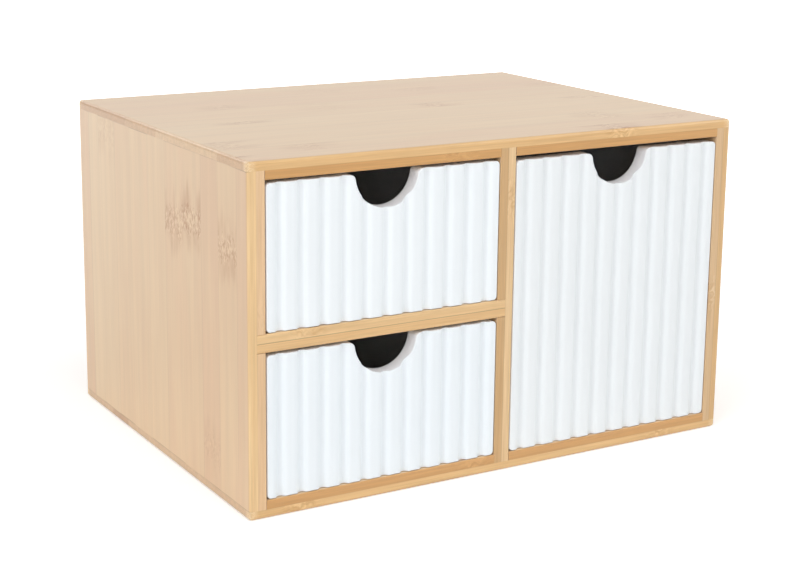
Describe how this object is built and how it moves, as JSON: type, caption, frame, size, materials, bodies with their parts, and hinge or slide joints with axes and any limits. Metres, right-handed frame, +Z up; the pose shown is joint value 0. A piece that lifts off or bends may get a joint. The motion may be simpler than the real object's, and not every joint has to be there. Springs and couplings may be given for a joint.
{
  "type": "desktop mini drawers",
  "caption": "Bamboo desktop case with white fluted drawers for crafts and small parts, each sliding out by a half-round finger notch.",
  "frame": {"origin": "centre of the underside of the case", "axes": "+X to the right as seen from the front, +Y towards the back, +Z up; the drawers open towards -Y"},
  "size_m": [0.314, 0.24, 0.19],
  "materials": {
    "bamboo_board": "clear-lacquered laminated bamboo, satin",
    "bamboo_back": "thin bamboo plywood, sanded",
    "painted_face": "fluted fibreboard with white satin paint",
    "white_board": "fibreboard with white matt paint",
    "drawer_floor": "thin fibreboard with white matt paint",
    "steel_pin": "bright steel pin ends"
  },
  "bodies": {
    "case": {"top_panel": "bamboo_board", "bottom_panel": "bamboo_board", "left_side_panel": "bamboo_board", "right_side_panel": "bamboo_board", "centre_divider": "bamboo_board", "shelf": "bamboo_board", "back_panel": "bamboo_back", "back_panel_pins": "steel_pin"},
    "upper_left_drawer": {"upper_left_drawer_front": "painted_face", "upper_left_drawer_left_side": "white_board", "upper_left_drawer_right_side": "white_board", "upper_left_drawer_back": "white_board", "upper_left_drawer_floor": "drawer_floor", "upper_left_drawer_pins": "steel_pin"},
    "lower_left_drawer": {"lower_left_drawer_front": "painted_face", "lower_left_drawer_left_side": "white_board", "lower_left_drawer_right_side": "white_board", "lower_left_drawer_back": "white_board", "lower_left_drawer_floor": "drawer_floor", "lower_left_drawer_pins": "steel_pin"},
    "right_drawer": {"right_drawer_front": "painted_face", "right_drawer_left_side": "white_board", "right_drawer_right_side": "white_board", "right_drawer_back": "white_board", "right_drawer_floor": "drawer_floor", "right_drawer_pins": "steel_pin"}
  },
  "joints": [
    {"name": "upper_left_drawer_slide", "type": "slide", "parent": "case", "child": "upper_left_drawer", "axis": [0, -1, 0], "range_m": [0, 0.2]},
    {"name": "lower_left_drawer_slide", "type": "slide", "parent": "case", "child": "lower_left_drawer", "axis": [0, -1, 0], "range_m": [0, 0.2]},
    {"name": "right_drawer_slide", "type": "slide", "parent": "case", "child": "right_drawer", "axis": [0, -1, 0], "range_m": [0, 0.2]}
  ]
}
